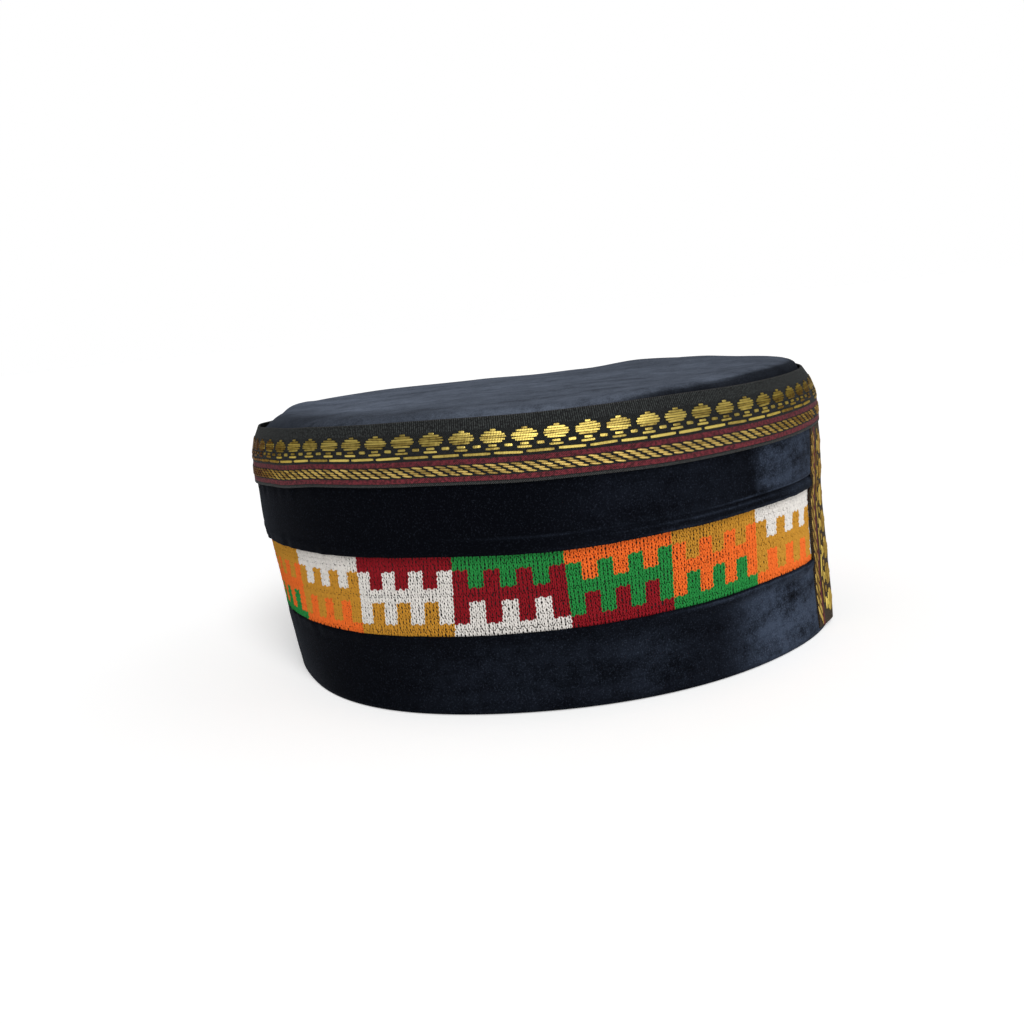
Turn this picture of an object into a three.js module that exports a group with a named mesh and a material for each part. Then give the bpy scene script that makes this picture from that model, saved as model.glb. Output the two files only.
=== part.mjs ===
// Flat-topped velvet skullcap, standing on its rim.
// The side wall is pieced from three strips: plain velvet, an embroidered strip set a little deeper, and
// plain velvet again. A shallow velvet crown closes the top, a woven ribbon binds the top edge, and a
// second length of the same ribbon covers the back seam.
// Millimetres, +Z up, rim on Z = 0, front towards -Y, back seam towards +Y.
import * as THREE from "three";

// Cloth
const VELVET = 2.2; // thickness of the velvet with its backing
const WEAVE = 1.6; // thickness of the embroidered strip
const RIBBON = 0.8; // thickness of the woven ribbon
const GAP = 0.3; // clearance between neighbouring pieces
const VELVET_EDGE = 0.9; // radius of a turned-in velvet edge
const RIM_EDGE = 0.6; // radius of the outer edge of the rim
const WEAVE_EDGE = 0.3;
const RIBBON_EDGE = 0.2;

// Size of the cap and heights of its sewn lines above the rim
const RIM_RADIUS = 93; // outside of the rim, for a 57 cm head
const WEAVE_FOOT = 23.8;
const WEAVE_TOP = 46.8;
const RIBBON_FOOT = 66.2;
const RIBBON_TOP = 84.6;
const LEAN = 3.4; // how far the top stands forward of the rim
const WEAVE_INSET = 0.7; // the embroidered face lies this far behind the velvet face
const TURNS = 72; // facets round the cap

// Outer face of the velvet, a row for each fold or change of slope
const WALL = [
  { height: 0, radius: RIM_RADIUS },
  { height: 12, radius: 93.7 },
  { height: 20.5, radius: 94.5 },
  { height: 22.4, radius: 95.2 }, // turned edge of the lower strip
  { height: WEAVE_FOOT, radius: 95 },
  { height: WEAVE_TOP, radius: 95.7 },
  { height: 48.6, radius: 96.7 }, // rolled tuck over the embroidered strip
  { height: 50.6, radius: 96.1 }, // crease above the tuck
  { height: 55, radius: 96.4 },
  { height: RIBBON_FOOT, radius: 96.5 },
  { height: 76, radius: 96.4 },
  { height: 81, radius: 95.5 }, // shoulder
  { height: RIBBON_TOP, radius: 94 },
];

// How far each sewn line wanders from level, by the angle round the cap from the front towards +X
const DRIFT = [
  { angle: 0, weaveFoot: -0.4, weaveTop: 0.2, ribbonFoot: 0.5, ribbonTop: 0.2 },
  { angle: 30, weaveFoot: -0.7, weaveTop: 0, ribbonFoot: 1, ribbonTop: -0.4 },
  { angle: 72, weaveFoot: -1, weaveTop: -0.1, ribbonFoot: 1.4, ribbonTop: 0.7 },
  { angle: 92, weaveFoot: -0.6, weaveTop: 0, ribbonFoot: 1, ribbonTop: 0.6 },
  { angle: 115, weaveFoot: -0.1, weaveTop: -0.7, ribbonFoot: -0.1, ribbonTop: -0.3 },
  { angle: 137, weaveFoot: 0.4, weaveTop: 0.2, ribbonFoot: -0.7, ribbonTop: -0.2 },
  { angle: 155, weaveFoot: 1, weaveTop: 0.8, ribbonFoot: -0.6, ribbonTop: -0.6 },
  { angle: 200, weaveFoot: 0.6, weaveTop: 0.3, ribbonFoot: -0.1, ribbonTop: -0.9 },
  { angle: 290, weaveFoot: 0, weaveTop: -0.3, ribbonFoot: 0, ribbonTop: -1.2 },
  { angle: 360, weaveFoot: -0.4, weaveTop: 0.2, ribbonFoot: 0.5, ribbonTop: 0.2 },
];

// Where the soft wall stands out or falls in: angle and height of the middle, how far the cloth moves,
// and how far the push fades to either side, in degrees, and up and down
const PUSHES = [
  { angle: 180, height: 0, out: 2.2, spread: 18, fade: 14 }, // flare at the foot of the back seam
  { angle: 180, height: 42, out: -0.9, spread: 16, fade: 20 }, // the seam draws the wall in
  { angle: 195, height: 68, out: 0.8, spread: 24, fade: 14 },
  { angle: 72, height: 0, out: 1.1, spread: 20, fade: 14 }, // flare at the right of the rim
  { angle: 30, height: 88, out: -1.6, spread: 34, fade: 12 }, // slack shoulder
  { angle: 185, height: 90, out: -1.2, spread: 26, fade: 10 },
  { angle: 262, height: 36, out: -0.9, spread: 26, fade: 24 }, // soft dents in the far side
  { angle: 318, height: 30, out: 0.8, spread: 24, fade: 22 },
];
const SEAM_RIBBON_WIDTH = 20;
const SEAM_RIBBON_FOOT = 0.6; // clear of what the cap stands on

// Crown: how far its edge lies below the ribbon's, how far its middle rises, and its soft swells and dips
const CROWN_DROP = 0.9;
const CROWN_RISE = 3.1;
const CROWN_FULLNESS = 9; // higher is flatter in the middle and fuller at the edge
const CROWN_RINGS = 9;
const SWELLS = [
  { x: -57, y: -18, rise: -0.8, reach: 26 },
  { x: -56, y: 52, rise: 2.4, reach: 34 },
  { x: 8, y: 10, rise: -0.5, reach: 30 },
];
const SWELL_FADE = 0.85; // share of the radius from which the swells fade out to the edge

const NAVY = 0x11141d;
const MUSTARD = 0xb8863a;
const OLD_GOLD = 0x8a6f3c;

const { clamp, euclideanModulo, lerp, radToDeg, smoothstep } = THREE.MathUtils;

// Value of one column of a table at a place along its key column, straight between rows or eased.
function lookUp(table, key, place, column, eased = false) {
  const above = table.findIndex((row) => row[key] >= place);
  const next = above < 0 ? table.length - 1 : Math.max(1, above);
  const low = table[next - 1];
  const high = table[next];
  const share = clamp((place - low[key]) / (high[key] - low[key]), 0, 1);
  return lerp(low[column], high[column], eased ? smoothstep(share, 0, 1) : share);
}

function wallRadius(height) {
  return lookUp(WALL, "height", height, "radius");
}

// How far cloth at this angle and height lies above its level place: nothing at the rim, between the
// sewn lines as they wander, and with the top line above it.
function drift(angle, height) {
  const wander = (column) => lookUp(DRIFT, "angle", angle, column, true);
  const lines = [
    { height: 0, rise: 0 },
    { height: WEAVE_FOOT, rise: wander("weaveFoot") },
    { height: WEAVE_TOP, rise: wander("weaveTop") },
    { height: RIBBON_FOOT, rise: wander("ribbonFoot") },
    { height: RIBBON_TOP, rise: wander("ribbonTop") },
  ];
  return lookUp(lines, "height", height, "rise");
}

// How far cloth at this angle and height stands outside its round place.
function pushed(angle, height) {
  return PUSHES.reduce((sum, push) => {
    const turn = euclideanModulo(angle - push.angle + 180, 360) - 180;
    const across = turn / push.spread;
    const upward = (height - push.height) / push.fade;
    return sum + push.out * Math.exp(-across * across - upward * upward);
  }, 0);
}

// Moves every corner of a geometry to where a rule takes it.
function reshape(geometry, rule) {
  const corners = geometry.getAttribute("position");
  const corner = new THREE.Vector3();
  for (let i = 0; i < corners.count; i++) {
    corner.fromBufferAttribute(corners, i);
    rule(corner);
    corners.setXYZ(i, corner.x, corner.y, corner.z);
  }
  return geometry;
}

// Takes a true round form to the cap as it stands: drawn at the seam, its lines adrift, leaning forward.
// The middle of the crown takes no part in the unevenness of the wall.
function settle(geometry) {
  return reshape(geometry, (corner) => {
    const height = corner.z;
    const radius = Math.hypot(corner.x, corner.y);
    const angle = euclideanModulo(radToDeg(Math.atan2(corner.x, -corner.y)), 360);
    const share = Math.min(1, (radius / RIM_RADIUS) ** 2);
    const grown = radius > 0 ? 1 + (pushed(angle, height) * share) / radius : 1;
    corner.x *= grown;
    corner.y *= grown;
    corner.y += LEAN * (0.5 - height / RIBBON_TOP);
    corner.z += drift(angle, height) * share;
  });
}

// A closed form turned about +Z from its section, which runs up the outside and down the inside.
function turned(section) {
  const points = section.map(({ radius, height }) => new THREE.Vector2(radius, height));
  return new THREE.LatheGeometry(points, TURNS).rotateX(Math.PI / 2);
}

// Heights of the wall's folds between two others.
function foldsBetween(low, high) {
  return WALL.map((row) => row.height).filter((height) => height > low && height < high);
}

// Section of a strip of cloth between two heights, its face off the velvet's face by so much.
function stripSection({ foot, top, face, thickness, edge, footEdge = edge }) {
  const folds = foldsBetween(foot + footEdge, top - edge);
  const skin = (height, depth) => ({ radius: wallRadius(height) + face - depth, height });
  const outside = [foot + footEdge, ...folds, top - edge].map((height) => skin(height, 0));
  const inside = folds.reverse().map((height) => skin(height, thickness));
  const footCorner = skin(foot, footEdge);
  const topCorners = [skin(top, edge), skin(top, thickness - edge / 2)];
  const footInner = skin(foot, thickness - footEdge / 2);
  return [footCorner, ...outside, ...topCorners, ...inside, footInner, footCorner];
}

function clothMesh(name, geometry, color, roughness, metalness = 0) {
  const material = new THREE.MeshStandardMaterial({ color, roughness, metalness });
  const mesh = new THREE.Mesh(geometry, material);
  mesh.name = name;
  return mesh;
}

const crownEdgeHeight = RIBBON_TOP - CROWN_DROP;
const upperBandTop = crownEdgeHeight - VELVET - GAP;

function lowerBand() {
  const section = stripSection({
    foot: 0,
    top: WEAVE_FOOT - GAP,
    face: 0,
    thickness: VELVET,
    edge: VELVET_EDGE,
    footEdge: RIM_EDGE,
  });
  return clothMesh("lower_band", settle(turned(section)), NAVY, 0.9);
}

function embroideredBand() {
  const section = stripSection({
    foot: WEAVE_FOOT,
    top: WEAVE_TOP,
    face: -WEAVE_INSET,
    thickness: WEAVE,
    edge: WEAVE_EDGE,
  });
  return clothMesh("embroidered_band", settle(turned(section)), MUSTARD, 0.8);
}

function upperBand() {
  const section = stripSection({
    foot: WEAVE_TOP + GAP,
    top: upperBandTop,
    face: 0,
    thickness: VELVET,
    edge: VELVET_EDGE,
  });
  return clothMesh("upper_band", settle(turned(section)), NAVY, 0.9);
}

// The ribbon round the top covers the seam between the crown and the wall.
function rimRibbon() {
  const section = stripSection({
    foot: RIBBON_FOOT,
    top: RIBBON_TOP,
    face: GAP + RIBBON,
    thickness: RIBBON,
    edge: RIBBON_EDGE,
  });
  return clothMesh("rim_ribbon", settle(turned(section)), OLD_GOLD, 0.55, 0.3);
}

// The ribbon down the back: a curved strip with a level for each fold of the wall, each level then taken
// to its own height and radius.
function seamRibbon() {
  const inner = RIM_RADIUS + GAP;
  const outer = inner + RIBBON;
  const halfTurn = SEAM_RIBBON_WIDTH / 2 / outer;
  const strip = new THREE.Shape();
  strip.absarc(0, 0, outer, Math.PI / 2 - halfTurn, Math.PI / 2 + halfTurn, false);
  strip.absarc(0, 0, inner, Math.PI / 2 + halfTurn, Math.PI / 2 - halfTurn, true);
  const foot = SEAM_RIBBON_FOOT;
  const top = RIBBON_FOOT - GAP;
  const levels = [foot, ...foldsBetween(foot, top), top];
  const geometry = new THREE.ExtrudeGeometry(strip, {
    depth: levels.length - 1,
    steps: levels.length - 1,
    curveSegments: 6,
    bevelEnabled: false,
  });
  reshape(geometry, (corner) => {
    corner.z = levels[Math.round(corner.z)];
    const grown = 1 + (wallRadius(corner.z) - RIM_RADIUS) / Math.hypot(corner.x, corner.y);
    corner.x *= grown;
    corner.y *= grown;
  });
  return clothMesh("seam_ribbon", settle(geometry), OLD_GOLD, 0.55, 0.3);
}

// The crown: a shallow dome whose edge turns down inside the ribbon and lies on the wall's top.
function crown() {
  const reach = wallRadius(crownEdgeHeight) - VELVET_EDGE;
  const underside = crownEdgeHeight - VELVET;
  const shoulder = crownEdgeHeight - VELVET_EDGE;
  const dome = (edgeHeight) =>
    Array.from({ length: CROWN_RINGS }, (_, ring) => {
      const share = ring / CROWN_RINGS;
      return { radius: share * reach, height: edgeHeight + CROWN_RISE * (1 - share ** CROWN_FULLNESS) };
    });
  const edge = [
    { radius: wallRadius(underside), height: underside },
    { radius: wallRadius(shoulder), height: shoulder },
    { radius: reach, height: crownEdgeHeight },
  ];
  const section = [...dome(underside), ...edge, ...dome(crownEdgeHeight).reverse()];
  const geometry = reshape(turned(section), (corner) => {
    const fade = 1 - smoothstep(Math.hypot(corner.x, corner.y) / reach, SWELL_FADE, 1);
    for (const { x, y, rise, reach: spread } of SWELLS) {
      const apart = ((corner.x - x) ** 2 + (corner.y - y) ** 2) / spread ** 2;
      corner.z += rise * fade * Math.exp(-apart);
    }
  });
  return clothMesh("crown", settle(geometry), NAVY, 0.9);
}

const cap = new THREE.Group();
cap.name = "skullcap";
cap.add(crown(), upperBand(), embroideredBand(), lowerBand(), rimRibbon(), seamRibbon());

export default cap;
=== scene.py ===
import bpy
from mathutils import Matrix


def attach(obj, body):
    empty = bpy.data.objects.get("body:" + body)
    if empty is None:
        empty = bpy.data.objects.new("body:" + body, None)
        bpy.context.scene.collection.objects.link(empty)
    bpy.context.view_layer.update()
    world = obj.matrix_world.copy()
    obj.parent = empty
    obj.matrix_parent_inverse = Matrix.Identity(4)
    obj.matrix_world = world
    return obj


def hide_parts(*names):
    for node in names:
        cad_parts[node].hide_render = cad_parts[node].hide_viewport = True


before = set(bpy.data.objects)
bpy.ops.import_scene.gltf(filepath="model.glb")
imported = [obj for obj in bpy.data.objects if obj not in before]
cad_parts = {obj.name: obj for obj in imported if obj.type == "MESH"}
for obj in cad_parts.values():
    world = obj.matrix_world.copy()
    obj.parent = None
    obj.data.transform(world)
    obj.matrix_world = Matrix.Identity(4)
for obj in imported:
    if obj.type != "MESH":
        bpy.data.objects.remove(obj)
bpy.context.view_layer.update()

import math

import bpy
import numpy as np
from mathutils import Matrix, Vector

mm = 0.001  # tables are in millimetres, meshes in metres
weldGap = 0.005  # points closer than this become one
farOff = 40  # so many steps from a soft edge nothing changes
rng = np.random.default_rng(57)


def table(columns, *rows):  # rows of values under the names of their columns
    return [dict(zip(columns.split(), row)) for row in rows]


# The cap as it stands, close to the frame's solids; angles run from the front towards +X
wallShape = {
    "rimRadius": 93.0,
    "weaveFoot": 23.8,
    "weaveTop": 46.8,
    "ribbonFoot": 66.2,
    "ribbonTop": 84.6,
    "lean": 3.4,  # the top stands this far forward of the rim
    "clothRadius": 95,  # lengths along the cloth are measured here
    "levelRim": 6,  # below this height the soft waves fade out
    "face": table(  # outside of the velvet wall
        "height radius",
        (0, 93), (12, 93.7), (20.5, 94.5), (23.8, 95), (46.8, 95.7), (55, 96.4), (66.2, 96.5),
        (76, 96.4), (81, 95.5), (84.6, 94),
    ),
    "drift": table(  # how far the sewn lines wander from level
        "angle weaveFoot weaveTop ribbonFoot ribbonTop",
        (0, -0.4, 0.2, -0.4, -1.2),
        (16, -0.5, 0.1, -0.9, -2.2),
        (34, -0.7, 0, -1.3, -1.3),
        (58, -0.9, 0, 0.1, -0.4),
        (72, -1, -0.1, 1.3, 0.1),
        (92, -0.6, 0, 1, 0.3),
        (115, -0.1, -0.7, -0.1, -0.3),
        (137, 0.4, 0.2, -0.7, -0.2),
        (155, 1, 0.8, -0.6, -0.6),
        (174, -0.1, 0.3, -0.4, -0.7),
        (200, 0.3, 0.3, -0.1, -0.9),
        (290, 0, -0.3, 0, -1.2),
        (360, -0.4, 0.2, -0.4, -1.2),
    ),
    "pushes": table(  # where the soft wall stands out or falls in, fading in degrees and upwards
        "angle height out spread fade",
        (180, 0, 2.2, 18, 14),
        (180, 42, -0.9, 16, 20),
        (195, 68, 0.8, 24, 14),
        (72, 0, 1.1, 20, 14),
        (82, 0, 1.3, 20, 9),
        (46, 0, -0.8, 12, 5),
        (36, 50, 0.8, 20, 17),
        (30, 88, -1.6, 34, 12),
        (185, 90, -1.2, 26, 10),
        (262, 36, -0.9, 26, 24),
        (318, 30, 0.8, 24, 22),
    ),
    "softWaves": table(  # slow unevenness that every layer of the wall shares
        "turns climb depth",
        (4, 0.03, 0.14), (7, -0.05, 0.1), (11, 0.09, 0.06),
    ),
}


def partWay(place, low, high):  # 0 at the one end, 1 at the other
    return np.clip((place - low) / (high - low), 0, 1)


def lookUp(rows, place, column, smooth=True):  # down the first column of a table
    key = next(iter(rows[0]))
    keys = np.array([row[key] for row in rows], float)
    values = np.array([row[column] for row in rows], float)
    if not smooth:
        return np.interp(place, keys, values)
    low = np.clip(np.searchsorted(keys, place) - 1, 0, len(keys) - 2)
    share = partWay(place, keys[low], keys[low + 1])
    return values[low] + (values[low + 1] - values[low]) * share * share * (3 - 2 * share)


def wallRadius(height):
    return lookUp(wallShape["face"], height, "radius", False)


def wallDrift(angle, height):
    shape = wallShape
    columns = ["weaveFoot", "weaveTop", "ribbonFoot", "ribbonTop"]
    levels = np.array([0] + [shape[column] for column in columns])
    rises = [np.zeros_like(angle)]
    rises += [lookUp(shape["drift"], angle, column) for column in columns]
    low = np.clip(np.searchsorted(levels, height) - 1, 0, len(columns) - 1)
    share = partWay(height, levels[low], levels[low + 1])
    each = np.arange(len(angle))
    rises = np.array(rises)
    return rises[low, each] * (1 - share) + rises[low + 1, each] * share


def turnApart(angle, other):  # from -180 to 180 degrees
    return (angle - other + 180) % 360 - 180


def pushedOut(rows, angle, height):
    total = np.zeros_like(angle)
    for row in rows:
        across = turnApart(angle, row["angle"]) / row["spread"]
        upward = (height - row["height"]) / row["fade"]
        total += row["out"] * np.exp(-across**2 - upward**2)
    return total


def wallPush(angle, height):
    total = pushedOut(wallShape["pushes"], angle, height)
    lift = partWay(height, 0, wallShape["levelRim"])
    for number, wave in enumerate(wallShape["softWaves"]):
        phase = np.radians(angle) * wave["turns"] + height * wave["climb"] + number
        total += wave["depth"] * lift * np.sin(phase)
    return total


def settle(points):  # from the true round form to the cap as it stands
    x, y, height = points.T
    radius = np.hypot(x, y)
    angle = np.degrees(np.arctan2(x, -y)) % 360
    share = np.minimum(1, (radius / wallShape["rimRadius"]) ** 2)
    grown = 1 + wallPush(angle, height) * share / np.maximum(radius, 1)
    lean = wallShape["lean"] * (0.5 - height / wallShape["ribbonTop"])
    rise = wallDrift(angle, height) * share
    return np.stack([x * grown, y * grown + lean, height + rise], axis=1)


def onWall(angle, height, out, face=wallRadius):  # points off the wall's face, settled
    turn = np.radians(angle)
    radius = face(height) + out
    return settle(np.stack([radius * np.sin(turn), -radius * np.cos(turn), height], axis=1))


# Mesh helpers
def meshPoints(piece):
    points = np.empty(len(piece.data.vertices) * 3)
    piece.data.vertices.foreach_get("co", points)
    return points.reshape(-1, 3) / mm


def movePoints(piece, points):
    piece.data.vertices.foreach_set("co", (points * mm).ravel())
    piece.data.update()


def roundAngles(points):
    return np.degrees(np.arctan2(points[:, 0], -points[:, 1]))


def aroundAxis(points):  # how far from the middle line, and at which angle
    return np.hypot(points[:, 0], points[:, 1]), roundAngles(points) % 360


def eased(steps):  # from 0 to 1 across a soft edge
    return 1 / (1 + np.exp(-np.clip(steps, -farOff, farOff)))


def cornerPoints(piece):
    corners = np.empty(len(piece.data.loops), int)
    piece.data.loops.foreach_get("vertex_index", corners)
    return corners


def writeUv(piece, along, across):  # a UV map in millimetres, from values at the corners
    layer = piece.data.uv_layers.new(name="cloth")
    layer.data.foreach_set("uv", np.stack([along, across], axis=1).astype(np.float32).ravel())


def wrapUv(piece, radius, across=None):  # along the wall and up it; the cut is at the back seam
    mesh = piece.data
    points = meshPoints(piece)
    corners = cornerPoints(piece)
    counts = np.empty(len(mesh.polygons), int)
    mesh.polygons.foreach_get("loop_total", counts)
    middles = np.empty(len(mesh.polygons) * 3)
    mesh.polygons.foreach_get("center", middles)
    middle = np.repeat(roundAngles(middles.reshape(-1, 3)), counts)
    angle = middle + turnApart(roundAngles(points)[corners], middle)
    heights = points[corners, 2]
    writeUv(piece, np.radians(angle) * radius, heights if across is None else across(heights))


def writeShade(piece, name, values):
    layer = piece.data.attributes.new(name, "FLOAT", "POINT")
    layer.data.foreach_set("value", values.astype(np.float32))


def closeMesh():  # all faces outwards, and out of edit mode
    bpy.ops.mesh.select_all(action="SELECT")
    bpy.ops.mesh.normals_make_consistent(inside=False)
    bpy.ops.object.mode_set(mode="OBJECT")


def raiseRings(name, rounds, around):  # a circle taken ring by ring through radius and height
    bpy.ops.object.select_all(action="DESELECT")
    radius, height = rounds[0]
    bpy.ops.mesh.primitive_circle_add(vertices=around, radius=radius * mm, location=(0, 0, height * mm))
    piece = bpy.context.object
    piece.name = name
    bpy.ops.object.transform_apply(location=True, rotation=True, scale=True)
    bpy.ops.object.mode_set(mode="EDIT")
    bpy.ops.mesh.select_all(action="SELECT")
    for nextRadius, nextHeight in rounds[1:]:
        step = (0, 0, (nextHeight - height) * mm)
        bpy.ops.mesh.extrude_region_move(TRANSFORM_OT_translate={"value": step})
        size = nextRadius / radius
        bpy.ops.transform.resize(value=(size, size, 1), center_override=(0, 0, 0))
        radius, height = nextRadius, nextHeight
    return piece


def turnedWall(name, section, around):  # a closed ring with this section
    piece = raiseRings(name, section + section[:1], around)
    bpy.ops.mesh.select_all(action="SELECT")
    bpy.ops.mesh.remove_doubles(threshold=weldGap * mm)
    closeMesh()
    bpy.ops.object.shade_smooth()
    return piece


cornerCut = {"passes": 3, "share": 0.25}  # each pass cuts the corners back by this share of a side


def softSection(rows, step, folds):  # rounds the corners of a closed outline; closer rings at its folds
    far, near = cornerCut["share"], 1 - cornerCut["share"]
    corners = np.array([[row["radius"], row["height"]] for row in rows], float)
    for _ in range(cornerCut["passes"]):
        after = np.roll(corners, -1, axis=0)
        cut = [corners * near + after * far, corners * far + after * near]
        corners = np.stack(cut, axis=1).reshape(-1, 2)
    ring = np.vstack([corners, corners[:1]])
    middleRadius, middleHeight = ((ring[1:] + ring[:-1]) / 2).T
    folded = (middleHeight > folds["from"]) & (middleHeight < folds["to"])
    folded &= middleRadius > folds["radius"]
    steps = np.hypot(*np.diff(ring, axis=0).T) * np.where(folded, folds["closer"], 1)
    length = np.concatenate([[0], np.cumsum(steps)])
    places = np.linspace(0, length[-1], int(length[-1] / step), endpoint=False)
    radius, height = (np.interp(places, length, ring[:, side]) for side in (0, 1))
    return list(zip(radius.tolist(), height.tolist()))


def thicken(piece, thickness):  # inwards from its face
    solid = piece.modifiers.new("thickness", "SOLIDIFY")
    solid.thickness = thickness * mm
    solid.offset = -1
    bpy.ops.object.modifier_apply(modifier=solid.name)


def joinedThreads(name, threads, form, mapping):  # many small closed threads as one mesh
    sides, count = len(form["outline"]), len(threads["middle"])
    stations, swell = np.array(form["stations"]), np.array(form["swell"])
    outlineX, outlineY = np.array(form["outline"], float).T
    along = np.concatenate([[-1], np.repeat(stations, sides), [1]])
    across = np.concatenate([[0], (swell[:, None] * outlineX).ravel(), [0]])
    out = np.concatenate([[0], (swell[:, None] * outlineY).ravel(), [0]])
    body = np.concatenate([[0], np.repeat(swell, sides), [0]])  # 0 at the tips
    forward = along * threads["halfLength"][:, None]
    sideways = across * threads["halfWidth"][:, None] + (1 - np.abs(along)) * threads["bow"][:, None]
    outward = out * threads["halfHeight"][:, None] + body * threads["lift"][:, None]
    (dirX, dirY), (midX, midY) = threads["direction"].T, threads["middle"].T
    placeX = midX[:, None] + forward * dirX[:, None] - sideways * dirY[:, None]
    placeY = midY[:, None] + forward * dirY[:, None] + sideways * dirX[:, None]
    points = mapping(placeX.ravel(), placeY.ravel(), outward.ravel())
    faces, last, rings = [], len(along) - 1, len(stations)
    for side in range(sides):
        after = (side + 1) % sides
        faces.append([0, 1 + after, 1 + side])
        for ring in range(rings - 1):
            low, high = 1 + ring * sides, 1 + (ring + 1) * sides
            faces.append([low + side, low + after, high + after, high + side])
        end = 1 + (rings - 1) * sides
        faces.append([end + side, end + after, last])
    allFaces = [[corner + start for corner in face]
                for start in range(0, count * len(along), len(along)) for face in faces]
    mesh = bpy.data.meshes.new(name)
    mesh.from_pydata((points * mm).tolist(), [], allFaces)
    piece = bpy.data.objects.new(name, mesh)
    bpy.context.scene.collection.objects.link(piece)
    bpy.ops.object.select_all(action="DESELECT")
    bpy.context.view_layer.objects.active = piece
    piece.select_set(True)
    bpy.ops.object.mode_set(mode="EDIT")
    closeMesh()
    bpy.ops.object.shade_smooth_by_angle(angle=math.radians(form["soft"]))
    corners = cornerPoints(piece)
    writeUv(piece, (forward + midX[:, None]).ravel()[corners], sideways.ravel()[corners])
    # painted shade: each thread is darker towards its tips, where it dips into the ground
    tipShade = form["tipShade"] + (1 - form["tipShade"]) * np.minimum(1, body)
    writeShade(piece, "shade", (tipShade * threads["shade"][:, None]).ravel())
    return piece


# Shader maths
class Value:
    def __init__(self, bench, socket):
        self.bench, self.socket = bench, socket

    def math(self, operation, *others):
        return self.bench.node("ShaderNodeMath", {"operation": operation}, dict(enumerate(others)))

    def __add__(self, other):
        return self.math("ADD", self, other)

    def __radd__(self, other):
        return self.math("ADD", other, self)

    def __sub__(self, other):
        return self.math("SUBTRACT", self, other)

    def __rsub__(self, other):
        return self.math("SUBTRACT", other, self)

    def __mul__(self, other):
        return self.math("MULTIPLY", self, other)

    def wave(self, pitch):  # up and down once in each pitch
        turn = self * (2 * math.pi / pitch)
        return turn.math("SINE", turn)

    def ramp(self, low, high):  # eases from 0 to 1
        ends = {"Value": self, "From Min": low, "From Max": high}
        return self.bench.node("ShaderNodeMapRange", {"interpolation_type": "SMOOTHSTEP"}, ends)

    def between(self, low, high, soft=0.08):  # 1 inside a stretch, with soft ends
        return self.ramp(low - soft, low + soft) - self.ramp(high - soft, high + soft)


class Bench:
    def __init__(self, owner, shader="Principled BSDF"):
        owner.use_nodes = True
        self.owner, self.tree = owner, owner.node_tree
        self.shader = self.tree.nodes[shader]

    def node(self, kind, settings, inputs, output=0):
        made = self.tree.nodes.new(kind)
        for key, setting in settings.items():
            setattr(made, key, setting)
        for key, value in inputs.items():
            self.put(made.inputs[key] if isinstance(key, int) else self.find(made.inputs, key), value)
        found = made.outputs[output] if isinstance(output, int) else self.find(made.outputs, output)
        return Value(self, found)

    def find(self, sockets, key):
        return next(socket for socket in sockets if key in (socket.identifier, socket.name))

    def put(self, socket, value):
        if isinstance(value, Value):
            self.tree.links.new(value.socket, socket)
        else:
            socket.default_value = value

    def finish(self, **inputs):
        for key, value in inputs.items():
            self.put(self.shader.inputs[key.replace("_", " ")], value)
        return self.owner

    def place(self):
        return self.node("ShaderNodeTexCoord", {}, {}, "Object")

    def clothPlace(self):
        return self.node("ShaderNodeUVMap", {"uv_map": "cloth"}, {})

    def cloth(self):  # along and across the cloth, in millimetres
        place = self.clothPlace()
        return [self.node("ShaderNodeSeparateXYZ", {}, {0: place}, axis) for axis in (0, 1)]

    def painted(self, name):
        return self.node("ShaderNodeAttribute", {"attribute_name": name}, {}, "Fac")

    def noise(self, vector, scale, detail=2.0, roughness=0.5):
        inputs = {"Vector": vector, "Scale": scale, "Detail": detail, "Roughness": roughness}
        return self.node("ShaderNodeTexNoise", {}, inputs)

    def stretched(self, vector, scale, turn=0.0):
        inputs = {"Vector": vector, "Rotation": (0, 0, math.radians(turn))}
        turned = self.node("ShaderNodeMapping", {}, inputs)
        return self.node("ShaderNodeVectorMath", {"operation": "MULTIPLY"}, {0: turned, 1: scale})

    def colour(self, factor, first, second):
        inputs = {"Factor_Float": factor, "A_Color": first, "B_Color": second}
        return self.node("ShaderNodeMix", {"data_type": "RGBA"}, inputs, "Result_Color")

    def bump(self, height, relief):
        inputs = {"Height": height, "Strength": relief["strength"], "Distance": relief["depth"] * mm}
        return self.node("ShaderNodeBump", {}, inputs)


def materialBench(name):
    return Bench(bpy.data.materials.new(name))


def rgb(red, green, blue):  # from 0 to 255 as seen, to linear
    seen = (red, green, blue)
    return [*(((c / 255 + 0.055) / 1.055) ** 2.4 if c > 10 else c / 3295 for c in seen), 1]


def placePiece(piece, material, slot, *nodes):
    piece.data.materials.clear()
    piece.data.materials.append(material)
    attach(piece, "root")
    if nodes:
        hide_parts(*nodes)
    return piece


# Velvet
velvetCloth = {
    "pile": rgb(5, 6, 10),
    "glint": rgb(77, 86, 103),
    "sheen": 0.045,
    "sheenRoughness": 0.3,
    "sheenTint": rgb(196, 208, 230),
    "specular": 0.02,
    "brushedGloss": 0.15,
    "pileGrid": 0.55,  # rows of the pile
    "clouds": {"scale": 60, "detail": 4, "roughness": 0.6},
    "blots": {"scale": 320, "detail": 3, "roughness": 0.6},
    "strokes": {"scale": 1, "detail": 4, "roughness": 0.6},
    "tips": {"scale": 2100, "detail": 2, "roughness": 0.7},
    # painted glints of the pile tips, stronger where the nap's light is painted
    "glintSpots": {"rows": 0.06, "from": 0.55, "to": 0.74, "napAndPaintedLight": 0.5, "dark": 0.11},
    "relief": {"rows": 0.1, "cloud": 0.8, "strength": 0.45, "depth": 0.25},
    "pucker": 0.09,  # depth of the small puckers along the sewn lines
    "puckerFade": 3.5,
    "puckerLines": ("weaveFoot", "weaveTop", "ribbonFoot"),
    "puckerTurns": (41, 67, 94),
}


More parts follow.
